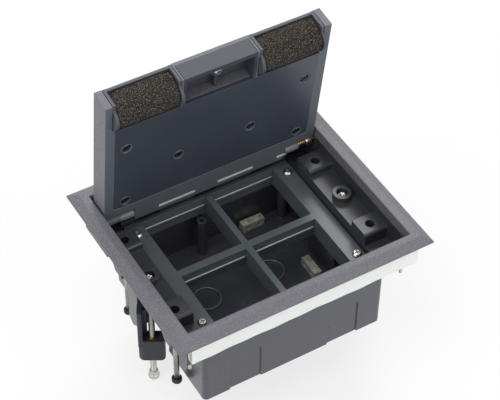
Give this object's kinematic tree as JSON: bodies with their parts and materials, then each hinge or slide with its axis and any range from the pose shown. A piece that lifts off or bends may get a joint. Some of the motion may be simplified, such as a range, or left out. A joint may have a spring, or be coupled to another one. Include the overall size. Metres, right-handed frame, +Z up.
{
  "type": "floor socket box",
  "caption": "Hinged-lid floor socket box with bays for square modular inserts, foam cable outlets, levelling screws and clamp claws.",
  "frame": {"origin": "centre of the floor cut-out at finished floor level, under the edge of the trim flange", "axes": "+X along the hinge, +Y towards the hinge side, +Z up out of the floor; the lid stands open at rest"},
  "size_m": [0.17, 0.141, 0.2073],
  "materials": {
    "trim_cast_zinc": "speckled powder coat",
    "housing_plastic": "moulded",
    "box_plastic": "moulded",
    "plate_plastic": "moulded",
    "nickel_steel": "nickel plated",
    "zinc_plated_steel": "yellow zinc plated",
    "seal_foam": "white closed-cell foam",
    "terminal_brass": "nickel-plated brass",
    "pin_brass": "turned",
    "lid_cast_zinc": "speckled powder coat",
    "panel_plastic": "moulded",
    "dark_screw": "black zinc",
    "grip_plastic": "moulded",
    "flap_plastic": "moulded",
    "outlet_foam": "open-cell foam",
    "claw_plastic": "glass-filled",
    "foot_plastic": "moulded"
  },
  "bodies": {
    "root": {"trim_flange": "trim_cast_zinc", "housing": "housing_plastic", "back_box": "box_plastic", "module_plate": "plate_plastic", "plate_screws": "nickel_steel", "box_screws": "nickel_steel", "corner_screws": "nickel_steel", "seal_strip_front": "seal_foam", "seal_strip_rear": "seal_foam", "earth_terminal_rear": "terminal_brass", "earth_terminal_side": "terminal_brass"},
    "lid": {"lid_cover": "lid_cast_zinc", "lid_inner_panel": "panel_plastic", "lid_panel_screws": "dark_screw", "grip_block": "grip_plastic", "grip_screw": "nickel_steel", "hinge_pin_left": "pin_brass", "hinge_pin_right": "pin_brass", "outlet_pins_left": "nickel_steel", "outlet_pins_right": "nickel_steel"},
    "outlet_flap_left": {"outlet_flap_left": "flap_plastic", "outlet_foam_left": "outlet_foam"},
    "outlet_flap_right": {"outlet_flap_right": "flap_plastic", "outlet_foam_right": "outlet_foam"},
    "clamp_screw_left": {"clamp_screw_left": "zinc_plated_steel", "clamp_end_nut_left": "nickel_steel"},
    "clamp_insert_left": {"clamp_insert_left": "pin_brass"},
    "clamp_claw_left": {"clamp_claw_left": "claw_plastic"},
    "clamp_screw_right": {"clamp_screw_right": "zinc_plated_steel", "clamp_end_nut_right": "nickel_steel"},
    "clamp_insert_right": {"clamp_insert_right": "pin_brass"},
    "clamp_claw_right": {"clamp_claw_right": "claw_plastic"},
    "levelling_foot_front_left": {"levelling_foot_front_left": "foot_plastic"},
    "levelling_screw_front_left": {"levelling_screw_front_left": "zinc_plated_steel"},
    "levelling_foot_front_right": {"levelling_foot_front_right": "foot_plastic"},
    "levelling_screw_front_right": {"levelling_screw_front_right": "zinc_plated_steel"},
    "levelling_foot_rear_left": {"levelling_foot_rear_left": "foot_plastic"},
    "levelling_screw_rear_left": {"levelling_screw_rear_left": "zinc_plated_steel"},
    "levelling_foot_rear_right": {"levelling_foot_rear_right": "foot_plastic"},
    "levelling_screw_rear_right": {"levelling_screw_rear_right": "zinc_plated_steel"}
  },
  "joints": [
    {"name": "lid_hinge", "type": "hinge", "parent": "root", "child": "lid", "pos_m": [0, 0.047, -0.0077], "axis": [-1, 0, 0], "range_deg": [-82.5, 13]},
    {"name": "outlet_flap_left_hinge", "type": "hinge", "parent": "lid", "child": "outlet_flap_left", "pos_m": [-0.047, 0.03559, 0.08662], "axis": [1, 0, 0], "range_deg": [0, 90]},
    {"name": "outlet_flap_right_hinge", "type": "hinge", "parent": "lid", "child": "outlet_flap_right", "pos_m": [0.047, 0.03559, 0.08662], "axis": [1, 0, 0], "range_deg": [0, 90]},
    {"name": "clamp_screw_left_turn", "type": "hinge", "parent": "root", "child": "clamp_screw_left", "pos_m": [-0.0671, 0, -0.016], "axis": [0, 0, -1], "range_deg": [-7210, 10810]},
    {"name": "clamp_insert_left_lift", "type": "slide", "parent": "root", "child": "clamp_insert_left", "axis": [0, 0, 1], "range_m": [-0.014, 0.021]},
    {"name": "clamp_claw_left_swing", "type": "hinge", "parent": "clamp_insert_left", "child": "clamp_claw_left", "pos_m": [-0.0671, 0, -0.077], "axis": [0, 0, 1], "range_deg": [0, 100]},
    {"name": "clamp_screw_right_turn", "type": "hinge", "parent": "root", "child": "clamp_screw_right", "pos_m": [0.0671, 0, -0.016], "axis": [0, 0, -1], "range_deg": [-7210, 10810]},
    {"name": "clamp_insert_right_lift", "type": "slide", "parent": "root", "child": "clamp_insert_right", "axis": [0, 0, 1], "range_m": [-0.014, 0.021]},
    {"name": "clamp_claw_right_swing", "type": "hinge", "parent": "clamp_insert_right", "child": "clamp_claw_right", "pos_m": [0.0671, 0, -0.077], "axis": [0, 0, 1], "range_deg": [0, 100]},
    {"name": "levelling_foot_front_left_slide", "type": "slide", "parent": "root", "child": "levelling_foot_front_left", "axis": [0, 0, -1], "range_m": [-0.008, 0.009]},
    {"name": "levelling_screw_front_left_turn", "type": "hinge", "parent": "levelling_foot_front_left", "child": "levelling_screw_front_left", "pos_m": [-0.0671, -0.031, -0.07], "axis": [0, 0, -1], "range_deg": [-4810, 5410]},
    {"name": "levelling_foot_front_right_slide", "type": "slide", "parent": "root", "child": "levelling_foot_front_right", "axis": [0, 0, -1], "range_m": [-0.008, 0.009]},
    {"name": "levelling_screw_front_right_turn", "type": "hinge", "parent": "levelling_foot_front_right", "child": "levelling_screw_front_right", "pos_m": [0.0671, -0.031, -0.07], "axis": [0, 0, -1], "range_deg": [-4810, 5410]},
    {"name": "levelling_foot_rear_left_slide", "type": "slide", "parent": "root", "child": "levelling_foot_rear_left", "axis": [0, 0, -1], "range_m": [-0.008, 0.009]},
    {"name": "levelling_screw_rear_left_turn", "type": "hinge", "parent": "levelling_foot_rear_left", "child": "levelling_screw_rear_left", "pos_m": [-0.0671, 0.031, -0.07], "axis": [0, 0, -1], "range_deg": [-4810, 5410]},
    {"name": "levelling_foot_rear_right_slide", "type": "slide", "parent": "root", "child": "levelling_foot_rear_right", "axis": [0, 0, -1], "range_m": [-0.008, 0.009]},
    {"name": "levelling_screw_rear_right_turn", "type": "hinge", "parent": "levelling_foot_rear_right", "child": "levelling_screw_rear_right", "pos_m": [0.0671, 0.031, -0.07], "axis": [0, 0, -1], "range_deg": [-4810, 5410]}
  ],
  "couplings": [
    {"joint": "clamp_screw_left_turn", "follows": "clamp_insert_left_lift", "rad_per_m": 8976},
    {"joint": "clamp_screw_right_turn", "follows": "clamp_insert_right_lift", "rad_per_m": 8976},
    {"joint": "levelling_screw_front_left_turn", "follows": "levelling_foot_front_left_slide", "rad_per_m": 10472},
    {"joint": "levelling_screw_front_right_turn", "follows": "levelling_foot_front_right_slide", "rad_per_m": 10472},
    {"joint": "levelling_screw_rear_left_turn", "follows": "levelling_foot_rear_left_slide", "rad_per_m": 10472},
    {"joint": "levelling_screw_rear_right_turn", "follows": "levelling_foot_rear_right_slide", "rad_per_m": 10472}
  ]
}
